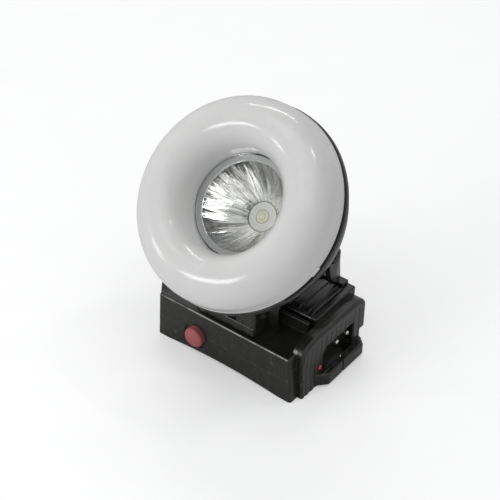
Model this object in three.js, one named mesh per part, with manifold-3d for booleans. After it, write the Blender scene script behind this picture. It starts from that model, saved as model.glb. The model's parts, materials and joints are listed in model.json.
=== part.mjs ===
// Miner's cap lamp: a flat battery base that rests against the cap, with a round
// lamp head that tilts on a yoke above it.
// Millimetres. +X to the wearer's side with the charging inlet, +Y away from the
// push button, +Z from the cap side to the light side. The origin is the middle of
// the resting plane under the base.
import * as THREE from 'three';
import { mergeVertices } from 'three/addons/utils/BufferGeometryUtils.js';
import Module from 'manifold-3d';

// Base casing
const HALF_LENGTH = 41;
const DECK_HALF_LENGTH = 39.6;
const FRONT_Y = -28.5;
const BACK_Y = 27.5;
const SEAM_Z = 12.5;
const DECK_Z = 26;
const WALL = 2;
const GAP = 0.3;
const ARCH_HALF = 34;
const ARCH_RISE = 1.9;
const CAVITY_HALF = 37.6;
const FLOOR_Z = 3.4;

// Raised end panels of the casing, their shoulders and the strap loops under them
const END_X = 43.7;
const END_FRONT_Y = -23;
const END_BACK_Y = 24.8;
const SHOULDER_Z = 31;
const SHOULDER_BACK_Z = 28.4;
const RECESS_FRONT_Y = -6.6;
const RECESS_BACK_Y = 18.3;
const SLOT_X = 40;
const LOOP_X = 48.2;
const BAR_WIDTH = 4;
const LOOP_TOP_Z = 7.4;
const LOOP_BOTTOM_Z = 0.4;

// Pods on the deck with ribbed covers, and the bars in front of them
const POD_INNER_X = 16;
const POD_OUTER_X = 37.6;
const POD_FRONT_Y = -5;
const POD_Z = 34;
const COVER_INNER_X = 19;
const COVER_OUTER_X = 34.6;
const COVER_BACK_Y = 21.7;
const COVER_SEAT_Z = 30.3;
const COVER_RIBS = 4;
const BAR_Z = 32.6;

// Push button
const BUTTON_X = -16.5;
const BUTTON_Z = 10.6;
const BUTTON_RADIUS = 5.3;
const BUTTON_DOME = 1.9;
const BUTTON_TRAVEL = 1.5;

// Charging inlet in the right-hand end
const INLET_RECESS_Z = 20.3;
const INLET_Z = 14.6;
const INDICATOR_Y = -8.7;
const INDICATOR_Z = 10.2;
const INDICATOR_RADIUS = 1.4;
const PIN_Y = 11.4;
const PIN_PITCH = 8.6;

// Yoke, pivot and tilt
const PIVOT_Y = 17.2;
const PIVOT_Z = 54.4;
const TILT = THREE.MathUtils.degToRad(46);
const ARM_X = 28.5;
const ARM_THICK = 3;
const YOKE_Z = POD_Z + GAP;

// Lamp head, measured along its own axis from the plane of its rim
const HEAD_OFFSET = 2.2;
const RIM_TO_PIVOT = 45.1;
const RIM_RADIUS = 50;
const RIM_INNER = 48;
const RIM_DEPTH = 4;
const CREST_RADIUS = 35.6;
const CREST_Z = 20.6;
const BULGE_Z = 6.6;
const BULGE_RADIUS = 49;
const SKIN = 1.8;
const MOUTH_RADIUS = 22.35;
const HOLE_RADIUS = 24.4;
const MOUTH_Z = -0.1;
const LED_Z = -21;
const LED_DISC_RADIUS = 7.15;
const NECK_RADIUS = 23;
const NECK_Z = -49.3;
const DRIVER_Z = -39.4;
const BOARD_THICK = 1.6;
const RING_BOARD_Z = -3.2;
const ROUND = 36;

const wasm = await Module();
wasm.setup();

// ---- solids ---------------------------------------------------------------

// A closed geometry as a solid: flat triangles are dropped and its faces made to
// point outwards, whichever way round its profile was drawn.
function solid(geometry) {
  geometry.deleteAttribute('normal');
  geometry.deleteAttribute('uv');
  const merged = mergeVertices(geometry, 1e-4);
  const position = merged.attributes.position;
  const corner = (i) => new THREE.Vector3().fromBufferAttribute(position, i);
  const triangles = [];
  let volume = 0;
  for (let i = 0; i < merged.index.count; i += 3) {
    const [a, b, c] = [0, 1, 2].map((k) => merged.index.getX(i + k));
    if (a !== b && b !== c && c !== a) {
      triangles.push([a, b, c]);
      volume += corner(a).dot(corner(b).cross(corner(c)));
    }
  }
  const outward = volume > 0 ? triangles : triangles.map(([a, b, c]) => [a, c, b]);
  return new wasm.Manifold(new wasm.Mesh({
    numProp: 3,
    vertProperties: Float32Array.from(position.array),
    triVerts: Uint32Array.from(outward.flat()),
  }));
}

function geometryOf(body) {
  const mesh = body.getMesh();
  const geometry = new THREE.BufferGeometry();
  geometry.setAttribute('position', new THREE.BufferAttribute(mesh.vertProperties, 3));
  geometry.setIndex(new THREE.BufferAttribute(mesh.triVerts, 1));
  return geometry;
}

function box(x0, x1, y0, y1, z0, z1) {
  const geometry = new THREE.BoxGeometry(x1 - x0, y1 - y0, z1 - z0);
  geometry.translate((x0 + x1) / 2, (y0 + y1) / 2, (z0 + z1) / 2);
  return solid(geometry);
}

function extruded(points, depth) {
  const shape = new THREE.Shape(points.map(([u, v]) => new THREE.Vector2(u, v)));
  return new THREE.ExtrudeGeometry(shape, { depth, bevelEnabled: false, steps: 1 });
}

// A prism whose section is drawn looking along one axis: (y, z), (x, z) or (x, y).
function prismX(points, x0, x1) {
  const geometry = extruded(points, x1 - x0);
  geometry.applyMatrix4(new THREE.Matrix4().set(0, 0, 1, x0, 1, 0, 0, 0, 0, 1, 0, 0, 0, 0, 0, 1));
  return solid(geometry);
}

function prismY(points, y0, y1) {
  const geometry = extruded(points, y1 - y0);
  geometry.rotateX(Math.PI / 2);
  geometry.translate(0, y1, 0);
  return solid(geometry);
}

function prismZ(points, z0, z1) {
  const geometry = extruded(points, z1 - z0);
  geometry.translate(0, 0, z0);
  return solid(geometry);
}

function rod(axis, radius, from, to, sides = 20) {
  const geometry = new THREE.CylinderGeometry(radius, radius, to - from, sides);
  geometry.translate(0, (from + to) / 2, 0);
  if (axis === 'x') geometry.rotateZ(-Math.PI / 2);
  if (axis === 'z') geometry.rotateX(Math.PI / 2);
  return solid(geometry);
}

// A round piece turned about the Z axis from (radius, z) points.
function turned(points, sides = ROUND) {
  const profile = points.map(([r, z]) => new THREE.Vector2(r, z));
  const geometry = new THREE.LatheGeometry(profile, sides);
  geometry.rotateX(Math.PI / 2);
  return solid(geometry);
}

function joined(parts) {
  return parts.reduce((sum, part) => sum.add(part));
}

function cut(body, tools) {
  return tools.reduce((rest, tool) => rest.subtract(tool), body);
}

const mirrored = (body) => body.mirror([1, 0, 0]);
const arc = (cx, cy, rx, ry, from, to, steps) => Array.from({ length: steps + 1 }, (_, i) => {
  const angle = THREE.MathUtils.degToRad(from + ((to - from) * i) / steps);
  return [cx + rx * Math.cos(angle), cy + ry * Math.sin(angle)];
});

// ---- finishes ---------------------------------------------------------------

const finish = (color, roughness, metalness = 0, opacity = 1) => ({
  color, roughness, metalness, opacity, transparent: opacity < 1, flatShading: true,
});
const FINISHES = {
  blackShell: finish(0x2c2b29, 0.4),
  blackGloss: finish(0x1e1e1d, 0.25),
  redRubber: finish(0xb4595c, 0.55),
  milkWhite: finish(0xe6e7e7, 0.25),
  mirror: finish(0xd8d8d8, 0.08, 1),
  clear: finish(0xf4f8fa, 0.05, 0, 0.3),
  whitePlastic: finish(0xe4e3de, 0.45),
  emitter: finish(0xf2eeb4, 0.2),
  steel: finish(0xb9bbbc, 0.3, 1),
  nickel: finish(0xd0d0ce, 0.25, 1),
  aluminium: finish(0xa8abad, 0.4, 1),
  board: finish(0x1f6b3a, 0.5),
  boardWhite: finish(0xeeeeea, 0.5),
  cell: finish(0x2a5c9c, 0.45),
  redWire: finish(0xb02020, 0.5),
  blackWire: finish(0x202020, 0.5),
};

function named(name, body, finishName) {
  const mesh = new THREE.Mesh(geometryOf(body), new THREE.MeshStandardMaterial(FINISHES[finishName]));
  mesh.name = name;
  return mesh;
}

// ---- base casing ------------------------------------------------------------

function sideX(z) {
  return HALF_LENGTH - ((HALF_LENGTH - DECK_HALF_LENGTH) * z) / DECK_Z;
}

function buttonOpening() {
  const hole = rod('y', BUTTON_RADIUS + GAP, FRONT_Y - 1, FRONT_Y + WALL + 1, 32);
  const dish = rod('y', BUTTON_RADIUS + WALL, FRONT_Y - 1, FRONT_Y + 0.8, 32);
  return hole.add(dish).translate([BUTTON_X, 0, BUTTON_Z]);
}

const SHELL_SCREWS = [[-33.4, -22.4], [33.4, -22.4], [-33.4, 21.4], [33.4, 21.4]];
const BOSS_RADIUS = 3.6;

function bosses(z0, z1) {
  return SHELL_SCREWS.map(([x, y]) => rod('z', BOSS_RADIUS, z0, z1, 16).translate([x, y, 0]));
}

// The recess in an end panel above and behind the strap bar.
function endRecess(z1) {
  const profile = [[RECESS_FRONT_Y, -1], [RECESS_BACK_Y, -1], [RECESS_BACK_Y, z1], [-3.2, z1],
    [RECESS_FRONT_Y, z1 - 3]];
  return prismX(profile, SLOT_X, END_X + 1);
}

// A bar for the head strap, split so that the strap slips in sideways.
function strapLoop() {
  const outline = [
    [SLOT_X, -13], [END_X, -12.2], [LOOP_X, -7.2], [LOOP_X, 21.4], [44.6, 24.6], [SLOT_X, 24.6],
  ];
  const slot = box(SLOT_X - 1, LOOP_X - BAR_WIDTH, -3.5, 17.5, -1, LOOP_TOP_Z + 1);
  const slit = prismZ([[42, 8.6], [50, 2.3], [50, 3.6], [42, 9.9]], -1, LOOP_TOP_Z + 1);
  return cut(prismZ(outline, LOOP_BOTTOM_Z, LOOP_TOP_Z), [slot, slit]);
}

function lowerShell() {
  const top = SEAM_Z - GAP / 2;
  const arch = Array.from({ length: 13 }, (_, i) => {
    const t = 1 - i / 6;
    return [ARCH_HALF * t, ARCH_RISE * (1 - t * t)];
  });
  const section = [[-HALF_LENGTH, 0], [-sideX(top), top], [sideX(top), top], [HALF_LENGTH, 0], ...arch];
  const end = box(36, END_X, END_FRONT_Y, END_BACK_Y, 0, top);
  const loop = strapLoop();
  const block = joined([prismY(section, FRONT_Y, BACK_Y), end, mirrored(end)]);
  const recesses = [endRecess(INLET_RECESS_Z), mirrored(endRecess(top - 1))];
  const cavity = box(-CAVITY_HALF, CAVITY_HALF, FRONT_Y + WALL, BACK_Y - WALL, FLOOR_Z, top + 1);
  const shell = joined([cut(block, [cavity, ...recesses]), loop, mirrored(loop)]);
  const holes = SHELL_SCREWS.map(([x, y]) => joined([
    rod('z', 1.7, -1, top + 1, 16),
    rod('z', 3, -1, 1.8, 16),
  ]).translate([x, y, 0]));
  const lightHole = rod('x', INDICATOR_RADIUS + GAP, CAVITY_HALF - 1, END_X + 1, 16)
    .translate([0, INDICATOR_Y, INDICATOR_Z]);
  return cut(joined([shell, ...bosses(1, top)]), [...holes, lightHole, buttonOpening()]);
}

function shoulder() {
  const foot = SEAM_Z + GAP / 2;
  const outline = [
    [END_FRONT_Y, foot],
    ...arc(-11, 25, 12, SHOULDER_Z - 25, 180, 90, 6),
    ...arc(-11, 8, 160, SHOULDER_Z - 8, 87, 77.5, 4),
    [BACK_Y - 0.6, SHOULDER_BACK_Z],
    [BACK_Y, SHOULDER_BACK_Z - 1.2],
    [BACK_Y, foot],
  ];
  const lower = outline.map(([y, z]) => [y, z > foot ? z - 1.1 : z]);
  return prismX(outline, 36, END_X - 1.2).add(prismX(lower, 40, END_X));
}

function pod() {
  const block = box(POD_INNER_X, POD_OUTER_X, POD_FRONT_Y, BACK_Y, DECK_Z - 1, POD_Z);
  const seat = box(COVER_INNER_X, COVER_OUTER_X, POD_FRONT_Y - 1, COVER_BACK_Y, COVER_SEAT_Z, POD_Z + 1);
  const bar = box(18, 35.5, -8.6, -6.6, DECK_Z - 1, BAR_Z);
  const screwHole = rod('z', 1.6, POD_Z - 5, POD_Z + 1, 12).translate([18.5, 24.7, 0]);
  return cut(block, [seat, screwHole]).add(bar);
}

function upperShell() {
  const foot = SEAM_Z + GAP / 2;
  const section = [
    [-sideX(foot), foot], [sideX(foot), foot], [DECK_HALF_LENGTH, DECK_Z], [-DECK_HALF_LENGTH, DECK_Z],
  ];
  const right = shoulder().add(pod());
  const outside = joined([prismY(section, FRONT_Y, BACK_Y), right, mirrored(right)]);
  const back = BACK_Y - WALL;
  const cavity = box(-CAVITY_HALF, CAVITY_HALF, FRONT_Y + WALL, back, foot - 1, DECK_Z - WALL);
  const podHollow = box(POD_INNER_X + WALL, POD_OUTER_X - WALL, -3, back - 5, DECK_Z - WALL - 1, 28.4);
  const shell = joined([cut(outside, [cavity, podHollow, mirrored(podHollow)]), ...bosses(foot, 25)]);
  const holes = SHELL_SCREWS.map(([x, y]) => rod('z', 1.4, foot - 1, 21, 16).translate([x, y, 0]));
  const socketWindow = box(CAVITY_HALF - 1, SLOT_X + 1, 2.3, 18, foot - 1, 19.6);
  return cut(shell, [...holes, endRecess(INLET_RECESS_Z), socketWindow, buttonOpening()]);
}

// The cradle on the deck: a low front band and two ears under the lamp cup.
function frontCradle() {
  const foot = DECK_Z + GAP;
  const earTop = 41.6;
  const half = 17.6;
  const ear = prismX([[-25.8, foot], [-14, foot], [-14, 39.4], [-25.8, earTop]], 6.3, half);
  const floor = box(-half + 0.6, half - 0.6, -26.3, -15, foot, 29);
  const band = box(-half + 0.6, half - 0.6, -26.3, -24.8, foot, 31);
  return joined([floor, band, ear, mirrored(ear)]);
}

function podCover() {
  const width = COVER_OUTER_X - COVER_INNER_X - 2 * GAP;
  const left = COVER_INNER_X + GAP;
  const foot = COVER_SEAT_Z + GAP;
  const pitch = width / COVER_RIBS;
  const ribs = Array.from({ length: COVER_RIBS }, (_, i) => {
    const start = left + i * pitch;
    return [[start, POD_Z + 0.2], [start + 0.9, POD_Z + 1], [start + pitch - 1.5, POD_Z + 1],
      [start + pitch - 0.6, POD_Z + 0.2]];
  }).flat();
  const section = [[left, foot], ...ribs, [left + width, POD_Z - 0.2], [left + width, foot]];
  const front = POD_FRONT_Y + GAP;
  const nose = prismX([
    [front, foot - 1], [front, foot + 1.2], [front + 1, POD_Z - 0.8], [front + 2.6, POD_Z + 0.5],
    [front + 4.6, POD_Z + 1.5], [30, POD_Z + 1.5], [30, foot - 1],
  ], 0, 50);
  return prismY(section, front, COVER_BACK_Y - GAP).intersect(nose);
}

// ---- fasteners --------------------------------------------------------------

// A cross-head screw standing on the XY plane with its head below.
function screw(headRadius, headHeight, shankRadius, length) {
  const body = rod('z', headRadius, 0, headHeight, 16).add(rod('z', shankRadius, 0, length, 12));
  const slot = box(-headRadius * 0.55, headRadius * 0.55, -0.3, 0.3, -1, headHeight * 0.5);
  return cut(body, [slot, slot.rotate([0, 0, 90])]);
}

// ---- button, switch and electrics -------------------------------------------

function pushButton() {
  const flange = FRONT_Y + WALL + GAP;
  const rim = FRONT_Y - 1.6;
  const dome = arc(0, rim, BUTTON_RADIUS, BUTTON_DOME, 0, -90, 7).slice(1, -1);
  const profile = [
    [0, flange + 1], [BUTTON_RADIUS + 0.6, flange + 1], [BUTTON_RADIUS + 0.6, flange],
    [BUTTON_RADIUS, flange], [BUTTON_RADIUS, rim], ...dome, [0, rim - BUTTON_DOME],
  ];
  return turned(profile.map(([r, y]) => [r, -y]), 32).rotate([90, 0, 0])
    .translate([BUTTON_X, 0, BUTTON_Z]);
}

class Helix extends THREE.Curve {
  constructor(radius, length, turns) {
    super();
    Object.assign(this, { radius, length, turns });
  }

  getPoint(t, target = new THREE.Vector3()) {
    const angle = t * this.turns * 2 * Math.PI;
    return target.set(this.radius * Math.cos(angle), t * this.length, this.radius * Math.sin(angle));
  }
}

function wire(path, radius, steps, sides) {
  const section = new THREE.Shape(Array.from({ length: sides }, (_, i) => new THREE.Vector2(
    radius * Math.cos((2 * Math.PI * i) / sides),
    radius * Math.sin((2 * Math.PI * i) / sides),
  )));
  return solid(new THREE.ExtrudeGeometry(section, { steps, extrudePath: path, bevelEnabled: false }));
}

const SWITCH_FRONT_Y = -19;

function buttonSpring() {
  const start = FRONT_Y + WALL + GAP + 1 + 0.7;
  const length = SWITCH_FRONT_Y - start - 0.7;
  return wire(new Helix(4.4, length, 3), 0.35, 33, 5).translate([BUTTON_X, start, BUTTON_Z]);
}

function switchBody() {
  const can = box(BUTTON_X - 6.4, BUTTON_X + 6.4, SWITCH_FRONT_Y, -13.6, FLOOR_Z + 0.8, 17.4);
  const plunger = rod('y', 2.4, FRONT_Y + WALL + 1 + GAP + BUTTON_TRAVEL + 0.6, SWITCH_FRONT_Y + 1, 16);
  return can.add(plunger.translate([BUTTON_X, 0, BUTTON_Z]));
}

function inletSocket() {
  const foot = SEAM_Z + 1.5 * GAP;
  const face = box(36, SLOT_X + 0.4, 2.6, 17.4, foot, 19.3);
  const flange = box(34.5, CAVITY_HALF - GAP, 1, 17.4, foot, 21);
  const pinHoles = [-1, 1].map((side) => rod('x', 1.5, 30, 50, 16)
    .translate([0, PIN_Y + (side * PIN_PITCH) / 2, INLET_Z]));
  return cut(face.add(flange), pinHoles);
}

function inletPin(side) {
  return rod('x', 1.2, 36.4, 42.6, 16).translate([0, PIN_Y + (side * PIN_PITCH) / 2, INLET_Z]);
}

// A lead from the front of the battery down to the charger board.
function batteryLead(x) {
  const points = [[x, -12.4, 14], [x, -15, 13.2], [x, -17, 10], [x, -17.6, 7.5]];
  const path = new THREE.CatmullRomCurve3(points.map((p) => new THREE.Vector3(...p)));
  return wire(path, 0.6, 8, 6);
}

// ---- yoke -------------------------------------------------------------------

function yoke() {
  const foot = box(-33.5, 33.5, 22.2, 27.2, YOKE_Z, YOKE_Z + 1.8);
  const side = [
    [22.4, YOKE_Z], [26.4, YOKE_Z], [25, 40], [22.9, 48], ...arc(PIVOT_Y, PIVOT_Z, 4.9, 4.9, 10, 190, 9),
    [13.6, 46], [15.6, 41.5], [22.4, YOKE_Z + 1.8],
  ];
  const hole = rod('x', 2, ARM_X - 1, ARM_X + ARM_THICK + 1, 24).translate([0, PIVOT_Y, PIVOT_Z]);
  const headSeat = rod('x', 3.3, ARM_X + 1.6, ARM_X + ARM_THICK + 1, 24).translate([0, PIVOT_Y, PIVOT_Z]);
  const arm = cut(prismX(side, ARM_X, ARM_X + ARM_THICK), [hole, headSeat]);
  const footHole = rod('z', 1.6, 30, 40, 12).translate([18.5, 24.7, 0]);
  return cut(joined([foot, arm, mirrored(arm)]), [footHole, mirrored(footHole)]);
}

// ---- lamp head: every piece is drawn on the head's axis, rim plane at z = 0 ----

function lampCup() {
  const outer = [
    [RIM_RADIUS, -0.9], [RIM_RADIUS, -RIM_DEPTH], [47.4, -6.4], [44, -11.4], [40, -18], [35.4, -25], [30, -31],
    [25.2, -35], [NECK_RADIUS, -37.4], [NECK_RADIUS, NECK_Z + 1], [NECK_RADIUS - 1, NECK_Z], [0, NECK_Z],
  ];
  const inner = [
    [0, NECK_Z + SKIN], [NECK_RADIUS - SKIN, NECK_Z + SKIN], [NECK_RADIUS - SKIN, -36.8], [24.2, -33.6],
    [29, -29.6], [34, -23.8], [38.4, -17], [42.2, -10.8], [45, -5.2], [RIM_INNER, -3.6], [RIM_INNER, -0.9],
  ];
  const cup = turned([...outer.reverse(), ...inner.reverse()]);
  const boss = rod('x', 5.6, NECK_RADIUS - 4, ARM_X - GAP, 24);
  const bore = rod('x', 1.4, NECK_RADIUS - 5, ARM_X + 1, 16);
  const place = [0, -HEAD_OFFSET, -RIM_TO_PIVOT];
  const neckRoom = rod('z', NECK_RADIUS - SKIN, NECK_Z + SKIN, -37, ROUND);
  const bosses = joined([boss, mirrored(boss)]).translate(place).subtract(neckRoom);
  return cut(cup.add(bosses), [bore.translate(place), mirrored(bore).translate(place)]);
}

function diffuser() {
  const outerHalf = BULGE_RADIUS - CREST_RADIUS;
  const outer = arc(CREST_RADIUS, BULGE_Z, outerHalf, CREST_Z - BULGE_Z, 0, 90, 7);
  const inner = arc(CREST_RADIUS, BULGE_Z, CREST_RADIUS - HOLE_RADIUS, CREST_Z - BULGE_Z, 90, 180, 6);
  const backOfInner = arc(CREST_RADIUS, BULGE_Z, CREST_RADIUS - HOLE_RADIUS - SKIN,
    CREST_Z - BULGE_Z - SKIN, 180, 90, 4);
  const backOfOuter = arc(CREST_RADIUS, BULGE_Z, outerHalf - SKIN, CREST_Z - BULGE_Z - SKIN, 90, 0, 4);
  const profile = [
    [RIM_RADIUS - 0.6, GAP], ...outer, ...inner.slice(1), [HOLE_RADIUS, MOUTH_Z + GAP],
    [HOLE_RADIUS + SKIN, MOUTH_Z + GAP], ...backOfInner, ...backOfOuter.slice(1), [BULGE_RADIUS - SKIN, GAP],
    [RIM_RADIUS - 0.6, GAP],
  ];
  return turned(profile);
}

function reflector() {
  const bend = (MOUTH_Z - LED_Z) / (MOUTH_RADIUS ** 2 - (LED_DISC_RADIUS + 0.3) ** 2);
  const bowl = Array.from({ length: 7 }, (_, i) => {
    const r = LED_DISC_RADIUS + 0.3 + ((MOUTH_RADIUS - LED_DISC_RADIUS - 0.3) * i) / 6;
    return [r, LED_Z + bend * (r ** 2 - (LED_DISC_RADIUS + 0.3) ** 2)];
  });
  const back = bowl.slice(0, -1).reverse().map(([r, z]) => [r + 1.1, z - 0.9]);
  const first = bowl[0];
  return turned([
    ...bowl, [HOLE_RADIUS - 0.3, MOUTH_Z], [HOLE_RADIUS - 0.3, MOUTH_Z - 1.2],
    [MOUTH_RADIUS + 0.6, MOUTH_Z - 1.2], ...back, first,
  ], 32);
}

function ring(inner, outer, z0, z1, sides = ROUND) {
  return turned([[inner, z0], [outer, z0], [outer, z1], [inner, z1], [inner, z0]], sides);
}

function ledHolder() {
  const disc = rod('z', LED_DISC_RADIUS, LED_Z - 1.6, LED_Z, 32);
  return disc.subtract(rod('z', 3.4, LED_Z - 0.7, LED_Z + 1, 24));
}

function ledEmitter() {
  const base = LED_Z - 0.7 + GAP;
  const dome = arc(0, base + 0.6, 1.9, 1.7, 0, 90, 6).slice(0, -1);
  return turned([[0, base], [3, base], [3, base + 0.6], ...dome, [0, base + 2.3]], 24);
}

function heatSink() {
  const top = LED_Z - 1.6 - GAP;
  const plate = rod('z', 13, top - 3, top, 28);
  const fins = Array.from({ length: 5 }, (_, i) => {
    const x = (i - 2) * 4.4;
    const half = Math.sqrt(12.4 ** 2 - x ** 2);
    return box(x - 0.7, x + 0.7, -half, half, top - 12, top - 2);
  });
  return joined([plate, ...fins]);
}

// ---- assembly ---------------------------------------------------------------

const base = new THREE.Group();
base.add(named('lower_shell', lowerShell(), 'blackShell'));
base.add(named('upper_shell', upperShell(), 'blackShell'));
base.add(named('front_cradle', frontCradle(), 'blackShell'));
base.add(named('pod_cover_right', podCover(), 'blackGloss'));
base.add(named('pod_cover_left', mirrored(podCover()), 'blackGloss'));
base.add(named('push_button', pushButton(), 'redRubber'));
base.add(named('button_spring', buttonSpring(), 'steel'));
base.add(named('switch_body', switchBody(), 'blackGloss'));
base.add(named('battery_pack', box(-27, 27, -12, 23, FLOOR_Z + GAP, 21.5), 'cell'));
base.add(named('battery_lead_positive', batteryLead(2), 'redWire'));
base.add(named('battery_lead_negative', batteryLead(6), 'blackWire'));
base.add(named('charger_board', box(-6, 29, -25.4, -13, 5.4, 7), 'board'));
base.add(named('inlet_socket', inletSocket(), 'blackGloss'));
base.add(named('inlet_pin_front', inletPin(-1), 'nickel'));
base.add(named('inlet_pin_rear', inletPin(1), 'nickel'));
base.add(named('charge_indicator', rod('x', INDICATOR_RADIUS, 36, END_X + 0.4, 16)
  .translate([0, INDICATOR_Y, INDICATOR_Z]), 'redRubber'));
SHELL_SCREWS.forEach(([x, y], i) => {
  base.add(named(`shell_screw_${i + 1}`, screw(2.6, 1.2, 1.1, 19).translate([x, y, 0.3]), 'steel'));
});
base.add(named('yoke', yoke(), 'blackShell'));
[['right', 18.5], ['left', -18.5]].forEach(([side, x]) => {
  const body = screw(2.7, 1.4, 1.3, 8).rotate([180, 0, 0]).translate([x, 24.7, YOKE_Z + 1.8 + GAP + 1.4]);
  base.add(named(`yoke_screw_${side}`, body, 'steel'));
});

const lamp = new THREE.Group();
lamp.position.set(0, HEAD_OFFSET, RIM_TO_PIVOT);
lamp.add(named('lamp_cup', lampCup(), 'blackShell'));
lamp.add(named('rim_gasket', ring(RIM_INNER, RIM_RADIUS - 0.5, -0.6, 0), 'blackWire'));
lamp.add(named('diffuser', diffuser(), 'milkWhite'));
lamp.add(named('reflector', reflector(), 'mirror'));
lamp.add(named('lens', rod('z', HOLE_RADIUS - 0.35, MOUTH_Z + GAP, MOUTH_Z + 1.8, 36), 'clear'));
lamp.add(named('led_holder', ledHolder(), 'whitePlastic'));
lamp.add(named('led_emitter', ledEmitter(), 'emitter'));
lamp.add(named('heat_sink', heatSink(), 'aluminium'));
lamp.add(named('driver_board', rod('z', 20.4, DRIVER_Z, DRIVER_Z + BOARD_THICK, 28), 'board'));
lamp.add(named('side_light_board', ring(25.6, RIM_INNER - 0.5, RING_BOARD_Z, RING_BOARD_Z + BOARD_THICK), 'boardWhite'));
const SIDE_LEDS = 12;
for (let i = 0; i < SIDE_LEDS; i += 1) {
  const angle = (360 * (i + 0.5)) / SIDE_LEDS;
  const led = box(CREST_RADIUS - 1.4, CREST_RADIUS + 1.4, -1.75, 1.75, -1, 0.4).rotate([0, 0, angle]);
  lamp.add(named(`side_led_${i + 1}`, led, 'emitter'));
}

const head = new THREE.Group();
head.position.set(0, PIVOT_Y, PIVOT_Z);
head.rotation.x = TILT;
head.add(lamp);
[['right', 1], ['left', -1]].forEach(([side, sign]) => {
  const body = screw(3, 1.3, 1.1, 10).rotate([0, -90 * sign, 0])
    .translate([sign * (ARM_X + ARM_THICK + 0.2), 0, 0]);
  head.add(named(`pivot_screw_${side}`, body, 'steel'));
});

const group = new THREE.Group();
group.add(base, head);

export default group;
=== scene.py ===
import json
import math

import bmesh
import bpy
from mathutils import Matrix, Vector


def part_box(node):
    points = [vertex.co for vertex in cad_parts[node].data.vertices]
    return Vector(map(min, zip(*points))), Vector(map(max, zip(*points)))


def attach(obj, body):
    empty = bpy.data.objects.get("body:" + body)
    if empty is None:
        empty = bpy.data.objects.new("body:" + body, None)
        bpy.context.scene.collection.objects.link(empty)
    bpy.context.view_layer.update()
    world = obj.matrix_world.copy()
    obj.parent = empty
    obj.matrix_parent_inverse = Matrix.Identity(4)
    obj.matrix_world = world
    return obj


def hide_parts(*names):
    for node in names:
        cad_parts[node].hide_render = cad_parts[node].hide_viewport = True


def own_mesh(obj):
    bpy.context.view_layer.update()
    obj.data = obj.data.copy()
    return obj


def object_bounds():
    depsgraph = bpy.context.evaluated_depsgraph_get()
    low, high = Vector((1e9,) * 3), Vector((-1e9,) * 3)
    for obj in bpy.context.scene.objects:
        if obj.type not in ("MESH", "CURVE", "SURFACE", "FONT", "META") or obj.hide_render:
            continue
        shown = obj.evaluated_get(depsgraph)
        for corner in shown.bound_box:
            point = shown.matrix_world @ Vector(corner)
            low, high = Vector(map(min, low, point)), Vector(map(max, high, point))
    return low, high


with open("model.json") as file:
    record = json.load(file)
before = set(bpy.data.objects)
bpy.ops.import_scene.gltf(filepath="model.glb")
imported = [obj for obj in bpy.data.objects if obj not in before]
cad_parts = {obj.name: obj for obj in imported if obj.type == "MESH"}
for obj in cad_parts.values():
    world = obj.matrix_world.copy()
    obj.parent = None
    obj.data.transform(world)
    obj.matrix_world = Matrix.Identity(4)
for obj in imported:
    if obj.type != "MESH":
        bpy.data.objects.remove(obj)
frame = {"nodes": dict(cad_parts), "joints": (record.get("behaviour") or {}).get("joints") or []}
cad_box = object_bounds()

# Camera: a short telephoto held above the lamp and to its right, rolled by under a degree.
# It aims at a point just above the base, and stands 60 cm away from it.
VIEW_HEADING = math.radians(37.5)
VIEW_HEIGHT = math.radians(37.3)
VIEW_ROLL = math.radians(0.87)
VIEW_DISTANCE = 0.6
VIEW_CENTRE = Vector((0, 0, 0.045))
VIEW_ASIDE, VIEW_UP = -0.00458, 0.0072
SENSOR, LENS = 36, 90.5

backward = Vector((
    math.sin(VIEW_HEADING) * math.cos(VIEW_HEIGHT),
    -math.cos(VIEW_HEADING) * math.cos(VIEW_HEIGHT),
    math.sin(VIEW_HEIGHT),
))
level = Vector((math.cos(VIEW_HEADING), math.sin(VIEW_HEADING), 0))
turn = Matrix.Rotation(VIEW_ROLL, 3, backward)
right = turn @ level
upward = turn @ backward.cross(level)
eye = VIEW_CENTRE + VIEW_DISTANCE * backward + VIEW_ASIDE * right + VIEW_UP * upward

camera_data = bpy.data.cameras.new("camera")
camera_data.sensor_width = SENSOR
camera_data.lens = LENS
camera_data.clip_start = 0.01
camera = bpy.data.objects.new("camera", camera_data)
camera.matrix_world = Matrix.Translation(eye) @ Matrix((right, upward, backward)).transposed().to_4x4()
bpy.context.scene.collection.objects.link(camera)
bpy.context.scene.camera = camera
bpy.context.scene.view_settings.view_transform = "Standard"


# Studio: a pale floor under a pale room. A wide window in front, a narrow one beside it and two
# strip lamps on the ceiling behind make the soft highlights.
FLOOR_SIDE = 6
FLOOR_DROP = 0.0002
FLOOR_SHADES, FLOOR_GLOW = (0.84, 0.88), 0.34
LAMP_DISTANCE, LAMP_TARGET = 1.3, Vector((0, -0.01, 0.08))
ROOM_COLOUR = (0.97, 0.985, 1.0, 1)
ROOM_LIGHT, ROOM_MIRRORED, ROOM_SEEN = 0.36, 0.7, 0.97


def add_node(tree, kind, inputs=None, **settings):
    node = tree.nodes.new("ShaderNode" + kind)
    for name, value in settings.items():
        setattr(node, name, value)
    for name, value in (inputs or {}).items():
        if isinstance(value, bpy.types.NodeSocket):
            tree.links.new(value, node.inputs[name])
        else:
            node.inputs[name].default_value = value
    return node


def new_material(name):
    material = bpy.data.materials.new(name)
    material.use_nodes = True
    material.node_tree.nodes.clear()
    return material, material.node_tree


def surface(tree, shader):
    add_node(tree, "OutputMaterial", {"Surface": shader})


def ranged(tree, value, start, stop, low=0.0, high=1.0):
    return add_node(tree, "MapRange", {
        "Value": value, "From Min": start, "From Max": stop, "To Min": low, "To Max": high,
    }).outputs["Result"]


def between(tree, value, low, high):
    return ranged(tree, value, 0.0, 1.0, low, high)


def maths(tree, operation, a, b=0.5):
    return add_node(tree, "Math", {0: a, 1: b}, operation=operation).outputs[0]


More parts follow.
